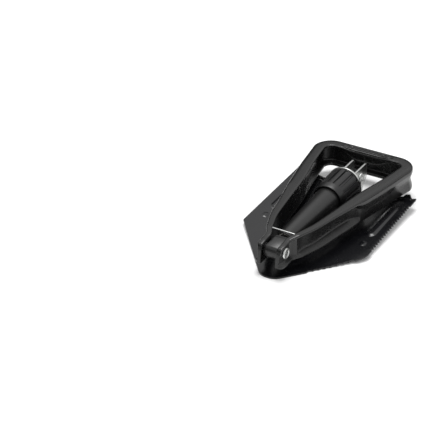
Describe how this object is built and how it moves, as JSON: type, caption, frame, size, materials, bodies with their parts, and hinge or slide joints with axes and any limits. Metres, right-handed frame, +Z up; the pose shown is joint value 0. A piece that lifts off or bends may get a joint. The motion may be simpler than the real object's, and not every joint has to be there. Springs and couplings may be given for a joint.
{
  "type": "folding camp shovel",
  "caption": "Folded camp shovel with a pointed blade, saw edge, tapered shaft, threaded locking collar and a D handle that turns over the shaft.",
  "frame": {"origin": "on the ground under the middle of the folded shovel", "axes": "+Y from the handle hinge to the blade hinge, +Z up from the ground to the handle, +X to the right, which is the saw's side"},
  "size_m": [0.1516, 0.236, 0.0459],
  "materials": {
    "blade_paint": "satin black powder coat",
    "handle_paint": "satin black paint",
    "tube_paint": "satin black paint",
    "collar_plastic": "matt moulded black",
    "zinc_plate": "bright zinc plate",
    "bare_steel": "oiled turned steel",
    "nylon": "natural nylon",
    "rubber": "soft black"
  },
  "bodies": {
    "core": {"core_rod": "bare_steel", "front_tongue": "tube_paint", "rear_tongue": "tube_paint", "front_roll_pin": "bare_steel", "rear_roll_pin": "bare_steel"},
    "tube": {"shaft_tube": "tube_paint", "threaded_sleeve": "bare_steel", "front_bush": "nylon", "rear_bush": "nylon"},
    "washer": {"thrust_washer": "zinc_plate"},
    "collar": {"locking_collar": "collar_plastic", "collar_insert": "bare_steel", "collar_seal": "rubber"},
    "blade": {"blade": "blade_paint", "blade_bracket": "zinc_plate", "blade_rivet_1": "zinc_plate", "blade_rivet_2": "zinc_plate", "blade_rivet_3": "zinc_plate", "blade_rivet_4": "zinc_plate", "blade_pin": "zinc_plate", "blade_washer_left": "bare_steel", "blade_washer_right": "bare_steel"},
    "handle": {"handle_frame": "handle_paint", "handle_pin": "zinc_plate", "handle_washer_left": "bare_steel", "handle_washer_right": "bare_steel", "stop_wire": "zinc_plate"}
  },
  "joints": [
    {"name": "washer_slide", "type": "slide", "parent": "core", "child": "washer", "axis": [0, 1, 0], "range_m": [0, 0.002]},
    {"name": "collar_turn", "type": "hinge", "parent": "washer", "child": "collar", "pos_m": [0, 0.034, 0.0253], "axis": [0, 1, 0], "range_deg": [0, 480]},
    {"name": "tube_slide", "type": "slide", "parent": "core", "child": "tube", "axis": [0, -1, 0], "range_m": [0, 0.002]},
    {"name": "blade_fold", "type": "hinge", "parent": "core", "child": "blade", "pos_m": [0, 0.07555, 0.0253], "axis": [1, 0, 0], "range_deg": [0, 180]},
    {"name": "handle_fold", "type": "hinge", "parent": "core", "child": "handle", "pos_m": [0, -0.10145, 0.0253], "axis": [1, 0, 0], "range_deg": [0, 180]}
  ],
  "couplings": [
    {"joint": "washer_slide", "follows": "tube_slide", "ratio": 1},
    {"joint": "collar_turn", "follows": "tube_slide", "rad_per_m": 4188.8},
    {"joint": "handle_fold", "follows": "blade_fold", "ratio": 1}
  ]
}
